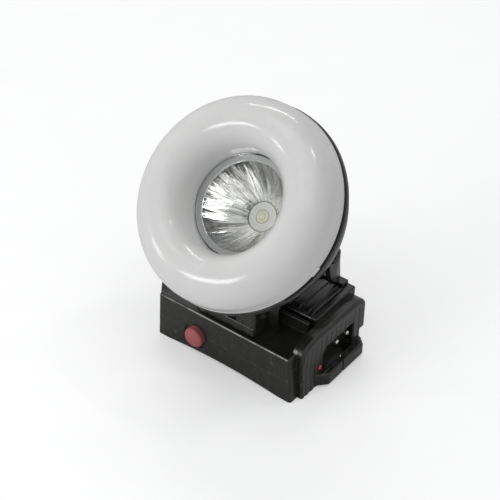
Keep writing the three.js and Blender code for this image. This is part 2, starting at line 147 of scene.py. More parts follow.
def noise(tree, vector, scale, detail, roughness=0.5):
    return add_node(tree, "TexNoise", {
        "Vector": vector, "Scale": scale, "Detail": detail, "Roughness": roughness,
    }).outputs["Fac"]


def object_place(tree):
    return add_node(tree, "TexCoord").outputs["Object"]


world = bpy.data.worlds.new("room")
world.use_nodes = True
world.node_tree.nodes.clear()
ray = add_node(world.node_tree, "LightPath").outputs
glossy_strength = between(world.node_tree, ray["Is Glossy Ray"], ROOM_LIGHT, ROOM_MIRRORED)
room_strength = between(world.node_tree, ray["Is Camera Ray"], glossy_strength, ROOM_SEEN)
room = add_node(world.node_tree, "Background", {"Color": ROOM_COLOUR, "Strength": room_strength})
add_node(world.node_tree, "OutputWorld", {"Surface": room.outputs[0]})
bpy.context.scene.world = world

floor_material, tree = new_material("pale_floor")
paper = between(tree, noise(tree, object_place(tree), 40.0, 3.0), *FLOOR_SHADES)
paper_colour = add_node(tree, "CombineColor", {"Red": paper, "Green": paper, "Blue": paper})
matt = add_node(tree, "BsdfPrincipled", {
    "Base Color": paper_colour.outputs[0], "Roughness": 0.9, "Specular IOR Level": 0.1,
})
seen = add_node(tree, "LightPath").outputs["Is Camera Ray"]
glow_strength = maths(tree, "MULTIPLY", seen, FLOOR_GLOW)
glow = add_node(tree, "Emission", {"Strength": glow_strength})
lit_floor = add_node(tree, "AddShader", {0: matt.outputs[0], 1: glow.outputs[0]})
underside = add_node(tree, "MixShader", {
    "Fac": add_node(tree, "NewGeometry").outputs["Backfacing"],
    1: lit_floor.outputs[0], 2: add_node(tree, "BsdfTransparent").outputs[0],
})
surface(tree, underside.outputs[0])

bm = bmesh.new()
bmesh.ops.create_grid(bm, x_segments=1, y_segments=1, size=FLOOR_SIDE / 2)
bmesh.ops.translate(bm, vec=(0, 0, cad_box[0][2] - FLOOR_DROP), verts=bm.verts)
floor_mesh = bpy.data.meshes.new("floor")
bm.to_mesh(floor_mesh)
bm.free()
floor = bpy.data.objects.new("floor", floor_mesh)
floor.data.materials.append(floor_material)
bpy.context.scene.collection.objects.link(floor)


def soft_light(name, towards, wide, tall, brightness, warmth=1.0):
    """An area lamp seen from the head in one direction, with its angular size in degrees."""
    direction = Vector(towards).normalized()
    data = bpy.data.lights.new(name, "AREA")
    data.shape = "RECTANGLE"
    data.size = 2 * LAMP_DISTANCE * math.tan(math.radians(wide / 2))
    data.size_y = 2 * LAMP_DISTANCE * math.tan(math.radians(tall / 2))
    data.energy = brightness * math.pi * data.size * data.size_y
    data.color = (1.0, 0.5 + 0.5 * warmth, warmth)
    lamp = bpy.data.objects.new(name, data)
    aim = direction.to_track_quat("Z", "Y").to_matrix().to_4x4()
    lamp.matrix_world = Matrix.Translation(LAMP_TARGET + LAMP_DISTANCE * direction) @ aim
    bpy.context.scene.collection.objects.link(lamp)
    return lamp


soft_light("front_window", (-0.30, -0.90, 0.27), 26, 12, 8.0)
soft_light("side_window", (-0.70, -0.70, 0.20), 5, 14, 8.0)
soft_light("ceiling_strip", (-0.42, 0.50, 0.76), 34, 3.4, 12.0, 0.98)
soft_light("ceiling_lamp", (0.28, 0.34, 0.90), 7, 5, 12.0, 0.98)
soft_light("overhead_panel", (0.10, -0.25, 1.0), 60, 46, 0.9)


# Lower shell: the cap-side half of the battery casing, moulded in black ABS with an arched underside
# for the cap, a fluted panel on each end and a split bar under it for the head strap.
# Four screws come up through it into the upper shell.
MM = 0.001
SEAM_GAP = 0.06
CORNER_ROUND = 1.4
ARCH_HALF, ARCH_RISE, ARCH_STEPS = 34, 1.9, 24
WALL, FLOOR_THICK = 2, 3.4
FLUTE_PITCH, FLUTE_RADIUS, FLUTE_DEPTH = 3.9, 2.1, 0.28
BAR_WIDTH = 4
RECESS_FRONT, RECESS_BACK, RECESS_TOP = -6.6, 18.3, 20.3
RECESS_FLOOR_X = 40
FRAME_WIDTH, FRAME_STEP = 1.5, 0.55
DISH_DEPTH, DISH_WALL = 0.8, 2
SHELL_SCREW_X, SHELL_SCREW_FRONT, SHELL_SCREW_BACK = 33.4, -22.4, 21.4
SCREW_POST, SCREW_CLEARANCE, SCREW_HEAD_ROOM, SCREW_THREAD = 3.6, 1.7, 3, 1.4
POST_X, END_PLATE_X, SHOULDER_X = 38, 36, 37.4
STRAP_SLOT_Y, SLIT = (-3.5, 17.5), [(42, 8.6), (50, 2.3), (50, 3.3), (42, 9.6)]


def node_box(name):
    """The lowest and highest corners of a CAD node, in millimetres."""
    low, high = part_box(name)
    return low / MM, high / MM


def soften(bm, radius, chosen=None, steps=3):
    """Rounds the edges whose two end points are chosen, or all of them."""
    edges = [e for e in bm.edges if chosen is None or chosen(e.verts[0].co, e.verts[1].co)]
    bmesh.ops.bevel(bm, geom=edges, offset=radius, offset_type="OFFSET", segments=steps,
                    profile=0.5, affect="EDGES", material=-1, clamp_overlap=True)


def upright(a, b):
    return abs(a.z - b.z) > 1 and abs(a.y - b.y) + abs(a.x - b.x) < 0.5 * abs(a.z - b.z)


def block(x, y, z, radius=0.0, chosen=None, steps=3):
    bm = bmesh.new()
    bmesh.ops.create_cube(bm, size=1)
    bmesh.ops.scale(bm, vec=(x[1] - x[0], y[1] - y[0], z[1] - z[0]), verts=bm.verts)
    bmesh.ops.translate(bm, vec=(sum(x) / 2, sum(y) / 2, sum(z) / 2), verts=bm.verts)
    if radius:
        soften(bm, radius, chosen, steps)
    return bm


def slab(outline, along, low, high, radius=0.0, chosen=None, steps=3):
    """A plate from an outline, drawn in the two other axes and drawn out along one axis."""
    axis = "xyz".index(along)
    bm = bmesh.new()
    corners = []
    for point in outline:
        place = list(point)
        place.insert(axis, low)
        corners.append(bm.verts.new(place))
    face = bm.faces.new(corners)
    grown = bmesh.ops.extrude_face_region(bm, geom=[face])["geom"]
    drawn = Vector([high - low if i == axis else 0 for i in range(3)])
    bmesh.ops.translate(bm, vec=drawn, verts=[g for g in grown if isinstance(g, bmesh.types.BMVert)])
    bmesh.ops.recalc_face_normals(bm, faces=bm.faces)
    if radius:
        soften(bm, radius, chosen, steps)
    return bm


def rod(along, centre, radius, low, high, sides=48, end_radius=None):
    """A round bar along one axis; centre is given in the two other axes."""
    axis = "xyz".index(along)
    bm = bmesh.new()
    bmesh.ops.create_cone(bm, cap_ends=True, segments=sides, radius1=radius,
                          radius2=radius if end_radius is None else end_radius, depth=high - low)
    turned = {"x": Matrix.Rotation(math.pi / 2, 3, "Y"), "y": Matrix.Rotation(-math.pi / 2, 3, "X"),
              "z": Matrix.Identity(3)}[along]
    bmesh.ops.rotate(bm, matrix=turned, verts=bm.verts)
    place = list(centre)
    place.insert(axis, (low + high) / 2)
    bmesh.ops.translate(bm, vec=place, verts=bm.verts)
    return bm


def mirrored(bm):
    copy = bm.copy()
    bmesh.ops.scale(copy, vec=(-1, 1, 1), verts=copy.verts)
    bmesh.ops.reverse_faces(copy, faces=copy.faces)
    return copy


def part(name, bm):
    mesh = bpy.data.meshes.new(name)
    bm.to_mesh(mesh)
    bm.free()
    piece = bpy.data.objects.new(name, mesh)
    bpy.context.scene.collection.objects.link(piece)
    return piece


def settled(piece):
    """The piece's mesh with its modifiers applied."""
    bpy.context.view_layer.update()
    mesh = bpy.data.meshes.new_from_object(piece.evaluated_get(bpy.context.evaluated_depsgraph_get()))
    piece.modifiers.clear()
    old = piece.data
    piece.data = mesh
    bpy.data.meshes.remove(old)


def shaped(piece, operation, tools):
    for bm in tools:
        tool = part("tool", bm)
        change = piece.modifiers.new("change", "BOOLEAN")
        change.object = tool
        change.operation = operation
        change.solver = "EXACT"
        settled(piece)
        bpy.data.objects.remove(tool)


def taken(piece):
    """The piece's shape as a loose mesh; the piece itself goes."""
    bm = bmesh.new()
    bm.from_mesh(piece.data)
    bpy.data.objects.remove(piece)
    return bm


def join(piece, *tools):
    shaped(piece, "UNION", tools)


def cut(piece, *tools):
    shaped(piece, "DIFFERENCE", tools)


def both_sides(bm):
    return bm.copy(), mirrored(bm)


def finished(piece, body, slot, material, *nodes, sharp=35, place=None):
    """Brings a piece from millimetres to its place, shades it smooth and fixes it to its body."""
    bm = bmesh.new()
    bm.from_mesh(piece.data)
    bmesh.ops.remove_doubles(bm, verts=bm.verts, dist=0.0008)
    bmesh.ops.dissolve_degenerate(bm, edges=bm.edges, dist=0.0005)
    bmesh.ops.transform(bm, matrix=Matrix.Scale(MM, 4) @ (place or Matrix.Identity(4)), verts=bm.verts)
    bm.to_mesh(piece.data)
    bm.free()
    piece.data.shade_smooth()
    piece.data.set_sharp_from_angle(angle=math.radians(sharp))
    even = piece.modifiers.new("even_shading", "WEIGHTED_NORMAL")
    even.keep_sharp = True
    settled(piece)
    piece.data.materials.clear()
    piece.data.materials.append(material)
    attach(piece, body)
    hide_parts(*nodes)
    return piece


def times(tree, a, b):
    return maths(tree, "MULTIPLY", a, b)


def plus(tree, a, b):
    return maths(tree, "ADD", a, b)


def new_group(name, inputs, outputs):
    group = bpy.data.node_groups.new(name, "ShaderNodeTree")
    for label, (kind, value) in inputs.items():
        socket = group.interface.new_socket(name=label, in_out="INPUT", socket_type=kind)
        if value is not None:
            socket.default_value = value
    for label, kind in outputs.items():
        group.interface.new_socket(name=label, in_out="OUTPUT", socket_type=kind)
    return group, group.nodes.new("NodeGroupInput").outputs, group.nodes.new("NodeGroupOutput").inputs


FLOAT, VECTOR = "NodeSocketFloat", "NodeSocketVector"

# Moulding grain: the fine eroded texture of a mould, and slow changes of gloss over a hand's width.
group, given, out = new_group(
    "moulding_grain", {"Vector": (VECTOR, None), "Scale": (FLOAT, 5000.0)}, {"Height": FLOAT, "Drift": FLOAT})
group.links.new(noise(group, given["Vector"], given["Scale"], 2.0, 0.55), out["Height"])
group.links.new(noise(group, given["Vector"], 70.0, 3.0, 0.6), out["Drift"])
grain_group = group

# Hair scratches: sparse long thin lines in three directions, where stretched noise crosses its middle.
SCRATCH_LAYS = ((0.5, (1.0, 0.02, 0.2)), (2.1, (1.0, 0.015, 0.25)), (1.25, (0.25, 1.0, 0.02)))
group, given, out = new_group(
    "hair_scratches", {"Vector": (VECTOR, None), "Scale": (FLOAT, 260.0), "Share": (FLOAT, 0.4)},
    {"Mask": FLOAT})
lines = None
for turn_by, stretch in SCRATCH_LAYS:
    lying = add_node(group, "Mapping", {
        "Vector": given["Vector"], "Rotation": (0.3 * turn_by, 0.2, turn_by), "Scale": stretch,
    }).outputs[0]
    crossing = maths(group, "SUBTRACT", noise(group, lying, given["Scale"], 0.0), 0.5)
    layer = ranged(group, maths(group, "ABSOLUTE", crossing), 0.0, 0.004, 1.0, 0.0)
    lines = layer if lines is None else maths(group, "MAXIMUM", lines, layer)
patches = noise(group, given["Vector"], 240.0, 3.0)
start = maths(group, "SUBTRACT", 0.82, given["Share"])
kept = ranged(group, patches, start, maths(group, "ADD", start, 0.12))
group.links.new(times(group, lines, kept), out["Mask"])
scratch_group = group

# Edge wear: where the surface turns within a fraction of a millimetre, broken up by noise.
group, given, out = new_group(
    "edge_wear", {"Vector": (VECTOR, None), "Width": (FLOAT, 0.0005), "Breaks": (FLOAT, 900.0)},
    {"Mask": FLOAT})
rounded = add_node(group, "Bevel", {"Radius": given["Width"]}, samples=4).outputs[0]
flat = add_node(group, "NewGeometry").outputs["Normal"]
likeness = add_node(group, "VectorMath", {0: rounded, 1: flat}, operation="DOT_PRODUCT")
turning = ranged(group, likeness.outputs["Value"], 0.995, 0.86)
chipped = ranged(group, noise(group, given["Vector"], given["Breaks"], 3.0), 0.42, 0.62)
group.links.new(times(group, turning, chipped), out["Mask"])
wear_group = group

# Settled dust: fine specks and a thin film on the faces that look up, as the lamp lies on the cap.
group, given, out = new_group(
    "settled_dust", {"Vector": (VECTOR, None), "Specks": (FLOAT, 1400.0)}, {"Film": FLOAT, "Specks": FLOAT})
facing = add_node(group, "SeparateXYZ", {
    0: add_node(group, "TexCoord").outputs["Normal"],
}).outputs["Z"]
clouded = ranged(group, noise(group, given["Vector"], 120.0, 5.0, 0.65), 0.4, 0.75)
film = times(group, ranged(group, facing, -0.1, 0.9), clouded)
group.links.new(film, out["Film"])
cells = add_node(group, "TexVoronoi", {"Vector": given["Vector"], "Scale": given["Specks"]}).outputs
chance = add_node(group, "SeparateColor", {0: cells["Color"]}).outputs["Red"]
rare = maths(group, "GREATER_THAN", chance, 0.93)
speck = times(group, ranged(group, cells["Distance"], 0.1, 0.2, 1.0, 0.0), rare)
group.links.new(speck, out["Specks"])
dust_group = group

# Painted highlight: rounded front edges that look forwards and a little up are painted pale, as the highlight
# line of the front lamp.
HIGHLIGHT_LEAN, HIGHLIGHT_FRONT, HIGHLIGHT_HALF = (0.0, -0.86, 0.51), -0.0205, 0.0395
group, given, out = new_group("painted_edge_highlight", {"Vector": (VECTOR, None)}, {"Mask": FLOAT})
leaning = add_node(group, "VectorMath", {
    0: add_node(group, "NewGeometry").outputs["Normal"], 1: HIGHLIGHT_LEAN,
}, operation="DOT_PRODUCT").outputs["Value"]
where = add_node(group, "SeparateXYZ", {0: given["Vector"]}).outputs
highlight_mask = ranged(group, leaning, 0.955, 0.99)
for mask in (
    ranged(group, noise(group, given["Vector"], 130.0, 3.0), 0.36, 0.6, 0.15),
    maths(group, "LESS_THAN", where["Y"], HIGHLIGHT_FRONT),
    maths(group, "LESS_THAN", maths(group, "ABSOLUTE", where["X"]), HIGHLIGHT_HALF),
):
    highlight_mask = times(group, highlight_mask, mask)
group.links.new(highlight_mask, out["Mask"])
highlight_group = group


def use_group(tree, group, inputs):
    return add_node(tree, "Group", inputs, node_tree=group).outputs


def blended(tree, mask, first, second):
    mix = add_node(tree, "Mix", data_type="RGBA")
    tree.links.new(mask, mix.inputs["Factor"])
    for socket, value in ((mix.inputs[6], first), (mix.inputs[7], second)):
        if isinstance(value, bpy.types.NodeSocket):
            tree.links.new(value, socket)
        else:
            socket.default_value = value
    return mix.outputs[2]


def bumped(tree, height, distance, **more):
    inputs = {"Height": height, "Strength": 1.0, "Distance": distance}
    inputs.update(more)
    return add_node(tree, "Bump", inputs).outputs[0]


def coated(tree, **sockets):
    """Ends a material in one Principled shader; a socket's name is given with _ for each space."""
    inputs = {name.replace("_", " "): value for name, value in sockets.items()}
    surface(tree, add_node(tree, "BsdfPrincipled", inputs).outputs[0])


def rgb(r, g, b):
    return (r, g, b, 1)


def shade(colour, factor):
    return rgb(*(factor * c for c in colour[:3]))


SOFT_EDGE = 0.0003
BRIGHT_EDGE, SPECK_COLOUR = rgb(0.6, 0.6, 0.58), rgb(0.5, 0.49, 0.46)


def moulded(name, colour, pale, gloss, grain=5000.0, depth=0.00001, scratches=0.4, dust=0.1, wear=0.5,
            specular=0.5, painted_highlight=0.0):
    """A moulded plastic: its colour drifts a little, edges, hair scratches and dust show paler, and front
    edges can carry a painted highlight.
    """
    material, tree = new_material(name)
    here = object_place(tree)
    texture = use_group(tree, grain_group, {"Vector": here, "Scale": grain})
    lines = use_group(tree, scratch_group, {"Vector": here, "Share": scratches})["Mask"]
    worn = use_group(tree, wear_group, {"Vector": here})["Mask"]
    dusty = use_group(tree, dust_group, {"Vector": here})
    tone = blended(tree, texture["Drift"], colour, shade(colour, 1.25))
    tone = blended(tree, times(tree, worn, wear), tone, pale)
    tone = blended(tree, times(tree, lines, 0.7), tone, pale)
    # Painted highlight: front edges that face the front lamp are painted pale.
    if painted_highlight:
        edge_highlight = use_group(tree, highlight_group, {"Vector": here})["Mask"]
        tone = blended(tree, times(tree, edge_highlight, painted_highlight), tone, BRIGHT_EDGE)
    tone = blended(tree, times(tree, dusty["Film"], dust), tone, pale)
    tone = blended(tree, times(tree, dusty["Specks"], min(1.0, 4 * dust)), tone, SPECK_COLOUR)
    rough = between(tree, texture["Drift"], gloss[0], gloss[1])
    rough = plus(tree, rough, times(tree, lines, 0.2))
    rough = plus(tree, rough, times(tree, dusty["Film"], dust))
    soft_edge = add_node(tree, "Bevel", {"Radius": SOFT_EDGE}, samples=4).outputs[0]
    height = plus(tree, texture["Height"], times(tree, lines, -0.8))
    coated(tree, Base_Color=tone, Roughness=rough, Normal=bumped(tree, height, depth, Normal=soft_edge),
           IOR=1.46, Specular_IOR_Level=specular)
    return material


# The casing's front edges carry a painted highlight.
casing_black = moulded("casing_black", rgb(0.0095, 0.0092, 0.0078), rgb(0.13, 0.128, 0.118), (0.22, 0.36),
                       dust=0.05, wear=0.3, depth=0.000006, scratches=0.44, painted_highlight=0.6)

CASING = "base", "black_casing", casing_black
lower_low, lower_high = node_box("lower_shell")
upper_low, upper_high = node_box("upper_shell")
button_low, button_high = node_box("push_button")
front_y, back_y = lower_low.y, lower_high.y
loop_x, end_x = lower_high.x, upper_high.x
seam_z = (lower_high.z + upper_low.z) / 2
lower_top = seam_z - SEAM_GAP / 2
HALF_LENGTH, DECK_HALF_LENGTH, DECK_Z = 41, 39.6, 26
END_FRONT, END_BACK = -23, 24.8
LOOP_FOOT, LOOP_TOP = 0.4, 7.4
button_x = (button_low.x + button_high.x) / 2
button_z = (button_low.z + button_high.z) / 2
BUTTON_RADIUS = 5.3
screw_places = [(sx * SHELL_SCREW_X, y) for sx in (-1, 1) for y in (SHELL_SCREW_FRONT, SHELL_SCREW_BACK)]


def side_x(z):
    """Half the casing's length at a height; its ends lean in a little so that it leaves the mould."""
    return HALF_LENGTH - (HALF_LENGTH - DECK_HALF_LENGTH) * z / DECK_Z


def flutes(low, high):
    """A comb of round bars that cuts shallow flutes into an end panel."""
    comb = bmesh.new()
    y = END_FRONT + 2.6
    while y < END_BACK - 1.5:
        bar = rod("z", (end_x + FLUTE_RADIUS - FLUTE_DEPTH, y), FLUTE_RADIUS, low, high, sides=24)
        mesh = bpy.data.meshes.new("bar")
        bar.to_mesh(mesh)
        bar.free()
        comb.from_mesh(mesh)
        bpy.data.meshes.remove(mesh)
        y += FLUTE_PITCH
    return comb


def recess(low, high, x=RECESS_FLOOR_X, grown=0.0, outer=6.0):
    """The hollow in an end panel, or with grown, a slab for the flat frame around it."""
    front, back, top = RECESS_FRONT - grown, RECESS_BACK + grown, high + grown
    nose = [(front, top - 3.2), (front + 1.2, top - 1.1), (front + 3.2, top)]
    return slab([(front, low), (back, low), (back, top)] + nose[::-1], "x", x, end_x + outer)


def button_room():
    """The hole for the push button and the shallow dish around it."""
    middle, dish_radius = (button_x, button_z), BUTTON_RADIUS + DISH_WALL
    hole = rod("y", middle, BUTTON_RADIUS + 0.3, front_y - 2, front_y + WALL + 1, sides=96)
    dish = rod("y", middle, dish_radius + 0.25, front_y - 1.2, front_y + DISH_DEPTH, sides=96,
               end_radius=dish_radius - 0.35)
    return hole, dish


arch = []
for i in range(ARCH_STEPS + 1):
    t = 1 - 2 * i / ARCH_STEPS
    arch.append((ARCH_HALF * t, ARCH_RISE * (1 - t * t)))
top_half = side_x(lower_top)
section = [(-HALF_LENGTH, 0), (-top_half, lower_top), (top_half, lower_top), (HALF_LENGTH, 0)]


def corner_post(a, b):
    return upright(a, b) and abs(a.x) > POST_X


lower = part("lower_shell_moulding", slab(section + arch, "y", front_y, back_y, CORNER_ROUND, corner_post, 5))
end_plate = block((END_PLATE_X, end_x), (END_FRONT, END_BACK), (0, lower_top), 1.1, upright, 4)
join(lower, *both_sides(end_plate))
cut(lower, *both_sides(flutes(-1, lower_top + 1)))
frame_low = recess(0.3, RECESS_TOP, end_x - 1, FRAME_WIDTH, outer=0)
bmesh.ops.bisect_plane(frame_low, geom=frame_low.verts[:] + frame_low.edges[:] + frame_low.faces[:],
                       plane_co=(0, 0, lower_top), plane_no=(0, 0, 1), clear_outer=True)
bmesh.ops.holes_fill(frame_low, edges=[e for e in frame_low.edges if e.is_boundary])
join(lower, *both_sides(frame_low))
cut(lower, *both_sides(recess(-1, RECESS_TOP, end_x - FRAME_STEP / 2, FRAME_STEP)))
loop_outline = [
    (RECESS_FLOOR_X, -13), (end_x, -12.2), (loop_x, -7.2), (loop_x, 21.4), (44.6, 24.6),
    (RECESS_FLOOR_X, 24.6),
]


def outer_rim(a, b):
    return min(a.x, b.x) > end_x - 0.5 and (abs(a.z - b.z) < 0.1 or (a.x > loop_x - 1 and b.x > loop_x - 1))


loop = slab(loop_outline, "z", LOOP_FOOT, LOOP_TOP, 1.0, outer_rim, 4)
slot_tool = block((RECESS_FLOOR_X - 1, loop_x - BAR_WIDTH), STRAP_SLOT_Y, (-1, LOOP_TOP + 1), 0.8, upright, 3)
slit_tool = slab(SLIT, "z", -1, LOOP_TOP + 1)
bar_piece = part("strap_bar", loop)
cut(bar_piece, slot_tool, slit_tool)
split_bar = taken(bar_piece)
cut(lower, *both_sides(recess(-1, RECESS_TOP)))
join(lower, *both_sides(split_bar))
cavity_half, inner_front, inner_back = 37.6, front_y + WALL, back_y - WALL
cavity = (-cavity_half, cavity_half), (inner_front, inner_back)
cut(lower, block(*cavity, (FLOOR_THICK, lower_top + 1), 1, upright))
join(lower, *(rod("z", place, SCREW_POST, 1, lower_top, sides=32) for place in screw_places))
for place in screw_places:
    cut(lower, rod("z", place, SCREW_CLEARANCE, -1, lower_top + 1, sides=32),
        rod("z", place, SCREW_HEAD_ROOM, -1, 1.8, sides=40))
cut(lower, *button_room())
light_y, light_z, light_radius = -8.7, 10.2, 1.4
cut(lower, rod("x", (light_y, light_z), light_radius + 0.3, cavity_half - 1, end_x + 1, sides=32))
finished(lower, *CASING, "lower_shell")


# Upper shell: the light-side half of the casing, in the same black ABS. A flat deck with a rounded
# shoulder over each end panel, and two pods whose covers sit between a frame and a low bar.
SHOULDER_TOP, SHOULDER_BACK_TOP = 31, 28.4
SHOULDER_ROUND = 3.1
POD_INNER, POD_OUTER, POD_FRONT = 16, 37.6, -5
COVER_INNER, COVER_OUTER, COVER_BACK, COVER_SEAT = 19, 34.6, 21.7, 30.3
BAR_INNER, BAR_OUTER, BAR_FRONT, BAR_BACK, BAR_TOP = 18, 35.5, -8.6, -6.6, 32.6
YOKE_SCREW_X, YOKE_SCREW_Y = 18.5, 24.7


def curve(centre, radii, start, stop, steps):
    """Points on a stretch of an ellipse, from one angle to another in degrees."""
    points = []
    for i in range(steps + 1):
        angle = math.radians(start + (stop - start) * i / steps)
        points.append((centre[0] + radii[0] * math.cos(angle), centre[1] + radii[1] * math.sin(angle)))
    return points


pod_top = upper_high.z
upper_foot = seam_z + SEAM_GAP / 2
section = [
    (-side_x(upper_foot), upper_foot), (side_x(upper_foot), upper_foot),
    (DECK_HALF_LENGTH, DECK_Z), (-DECK_HALF_LENGTH, DECK_Z),
]


def top_or_post(a, b):
    lies_back = min(a.y, b.y) > back_y - 0.1
    return (min(a.z, b.z) > DECK_Z - 0.1 and not lies_back) or corner_post(a, b)


upper = part("upper_shell_moulding", slab(section, "y", front_y, back_y, CORNER_ROUND, top_or_post, 6))
shoulder_outline = [(END_FRONT, upper_foot)]
shoulder_outline += curve((-11, 25), (12, SHOULDER_TOP - 25), 180, 90, 10)
shoulder_outline += curve((-11, 8), (160, SHOULDER_TOP - 8), 88, 77.5, 6)
shoulder_outline += [(back_y, SHOULDER_BACK_TOP), (back_y, upper_foot)]


def shoulder_ridge(a, b):
    return min(a.x, b.x) > end_x - 0.1 and max(a.z, b.z) > 24 and min(a.z, b.z) > upper_foot + 1


shoulder = slab(shoulder_outline, "x", SHOULDER_X, end_x, SHOULDER_ROUND, shoulder_ridge, 8)
join(upper, *both_sides(shoulder))
cut(upper, *both_sides(flutes(upper_foot - 1, 27.2)))
frame_high = recess(upper_foot, RECESS_TOP, end_x - 1, FRAME_WIDTH, outer=0)
join(upper, frame_high)
cut(upper, recess(upper_foot - 1, RECESS_TOP, end_x - FRAME_STEP / 2, FRAME_STEP))


def above_deck(a, b):
    return max(a.z, b.z) > DECK_Z


pod = block((POD_INNER, POD_OUTER), (POD_FRONT, back_y), (DECK_Z - 1, pod_top), 0.7, above_deck, 4)
bar = block((BAR_INNER, BAR_OUTER), (BAR_FRONT, BAR_BACK), (DECK_Z - 1, BAR_TOP), 0.45, above_deck, 3)
join(upper, *both_sides(pod), *both_sides(bar))
seat = block((COVER_INNER, COVER_OUTER), (POD_FRONT - 1, COVER_BACK), (COVER_SEAT, pod_top + 1), 0.4,
             upright, 2)
cut(upper, *both_sides(seat))
cut(upper, block(*cavity, (upper_foot - 1, DECK_Z - WALL), 1, upright))
hollow = block((POD_INNER + WALL, POD_OUTER - WALL), (-3, inner_back - 5), (DECK_Z - WALL - 1, 28.4))
cut(upper, *both_sides(hollow))
join(upper, *(rod("z", place, SCREW_POST, upper_foot, 25, sides=32) for place in screw_places))
cut(upper, *(rod("z", place, SCREW_THREAD, upper_foot - 1, 21, sides=24) for place in screw_places))
cut(upper, *both_sides(rod("z", (YOKE_SCREW_X, YOKE_SCREW_Y), 1.6, pod_top - 5, pod_top + 1, sides=24)))
cut(upper, recess(-1, RECESS_TOP))
cut(upper, block((cavity_half - 1, RECESS_FLOOR_X + 1), (2.3, 18), (upper_foot - 1, 19.6)))
cut(upper, *button_room())
finished(upper, *CASING, "upper_shell")

# Push button: a domed cap of pink-red silicone rubber that shows through the front of the casing.
# A flange behind the wall keeps it in, and pressing it works the switch.
FLANGE_GROW, FLANGE_THICK = 0.6, 1
DOME_HEIGHT, CAP_OUT, CAP_ROUND = 1.8, 1.7, 0.55


def spun(profile, steps=96):
    """A round piece: (radius, height) points turned once about the upright axis."""
    bm = bmesh.new()
    corners = [bm.verts.new((r, 0, z)) for r, z in profile]
    for a, b in zip(corners, corners[1:]):
        bm.edges.new((a, b))
    bmesh.ops.spin(bm, geom=bm.verts[:] + bm.edges[:], cent=(0, 0, 0), axis=(0, 0, 1), angle=2 * math.pi,
                   steps=steps, use_merge=True)
    bmesh.ops.remove_doubles(bm, verts=bm.verts, dist=0.0005)
    bmesh.ops.dissolve_degenerate(bm, edges=bm.edges, dist=0.0001)
    bmesh.ops.recalc_face_normals(bm, faces=bm.faces)
    return bm


def moved(bm, matrix):
    bmesh.ops.transform(bm, matrix=matrix, verts=bm.verts)
    return bm


red_rubber = moulded("red_rubber", rgb(0.36, 0.092, 0.098), rgb(0.62, 0.36, 0.34), (0.5, 0.66), grain=3200.0,
                     depth=0.00002, scratches=0.25, dust=0.22, wear=0.25)
dome_rim = front_y - CAP_OUT
flange_y = front_y + WALL + 0.3
button_profile = [(0, flange_y + FLANGE_THICK), (BUTTON_RADIUS + FLANGE_GROW, flange_y + FLANGE_THICK),
                  (BUTTON_RADIUS + FLANGE_GROW, flange_y), (BUTTON_RADIUS, flange_y)]
button_profile += curve((BUTTON_RADIUS - CAP_ROUND, dome_rim), (CAP_ROUND, CAP_ROUND), 0, -62, 5)
button_profile += curve((0, dome_rim), (BUTTON_RADIUS, DOME_HEIGHT), -26, -90, 16)
button = spun([(max(r, 0), -y) for r, y in button_profile])
lying = Matrix.Translation((button_x, 0, button_z)) @ Matrix.Rotation(math.pi / 2, 4, "X")
finished(part("push_button_cap", moved(button, lying)), "button", "red_rubber", red_rubber, "push_button")


# Front cradle: a separate black moulding on the deck under the lamp cup, with a low band along the
# front edge and two ears that the cup comes down between and over.
cradle_low, cradle_high = node_box("front_cradle")
EAR_INNER, EAR_BACK, EAR_BACK_TOP = 6.3, -14, 39.4
BAND_TOP, BAND_THICK, CRADLE_FLOOR = 31, 1.5, 29
BAND_HALF, EAR_SETBACK = 17, 0.5

cradle = part("front_cradle_moulding", block((-BAND_HALF, BAND_HALF), (cradle_low.y + 0.3, -15),
                                             (cradle_low.z, CRADLE_FLOOR), 0.3))
join(cradle, block((-BAND_HALF, BAND_HALF), (cradle_low.y, cradle_low.y + BAND_THICK),
                   (cradle_low.z, BAND_TOP), 0.6,
                   lambda a, b: max(a.z, b.z) > BAND_TOP - 0.1 or upright(a, b), 4))
ear_front = cradle_low.y + EAR_SETBACK
ear_outline = [(ear_front, cradle_low.z), (EAR_BACK, cradle_low.z), (EAR_BACK, EAR_BACK_TOP),
               (ear_front, cradle_high.z)]
ear = slab(ear_outline, "x", EAR_INNER, cradle_high.x, 1.3,
           lambda a, b: upright(a, b) and min(a.x, b.x) > 10, 5)
soften(ear, 0.35, lambda a, b: min(a.z, b.z) > 38 and abs(a.x - b.x) < 6 and abs(a.y - b.y) < 12, 2)
join(cradle, *both_sides(ear))
finished(cradle, *CASING, "front_cradle")


# Pod covers: ribbed black covers that close the two pods, glossier than the casing. Their front
# edges roll down over the gap behind the bar, and four ribs of different widths run back.
cover_black = moulded("cover_black", rgb(0.006, 0.006, 0.006), rgb(0.1, 0.1, 0.095), (0.2, 0.3), dust=0.08,
                      depth=0.000004, scratches=0.3, wear=0.25)
RIBS = ((0, 1.6), (2.9, 7.1), (8.9, 12.5), (13.7, 15.0))
RIB_HEIGHT, NOSE = 0.7, 3.6

cover_low, cover_high = node_box("pod_cover_right")
plate_top = cover_high.z - RIB_HEIGHT


def cover_profile(front, back, top, foot):
    nose = curve((front + NOSE, foot + 1.2), (NOSE, top - foot - 1.2), 180, 90, 10)
    return [(front, foot)] + nose + [(back, top), (back, foot)]


cover = part("cover", slab(
    cover_profile(cover_low.y, cover_high.y, plate_top, cover_low.z), "x", cover_low.x, cover_high.x))
for start, stop in RIBS:
    outline = cover_profile(cover_low.y + 0.5, cover_high.y - 0.3, cover_high.z, cover_low.z + 0.5)
    rib = slab(outline, "x", cover_low.x + start, min(cover_low.x + stop, cover_high.x), 0.6,
               lambda a, b: abs(a.x - b.x) < 0.01 and max(a.z, b.z) > cover_low.z + 1.2, 3)
    join(cover, rib)
for side, bm in zip(("right", "left"), both_sides(taken(cover))):
    finished(part(f"pod_cover_{side}_moulding", bm), "base", "black_cover", cover_black, f"pod_cover_{side}")


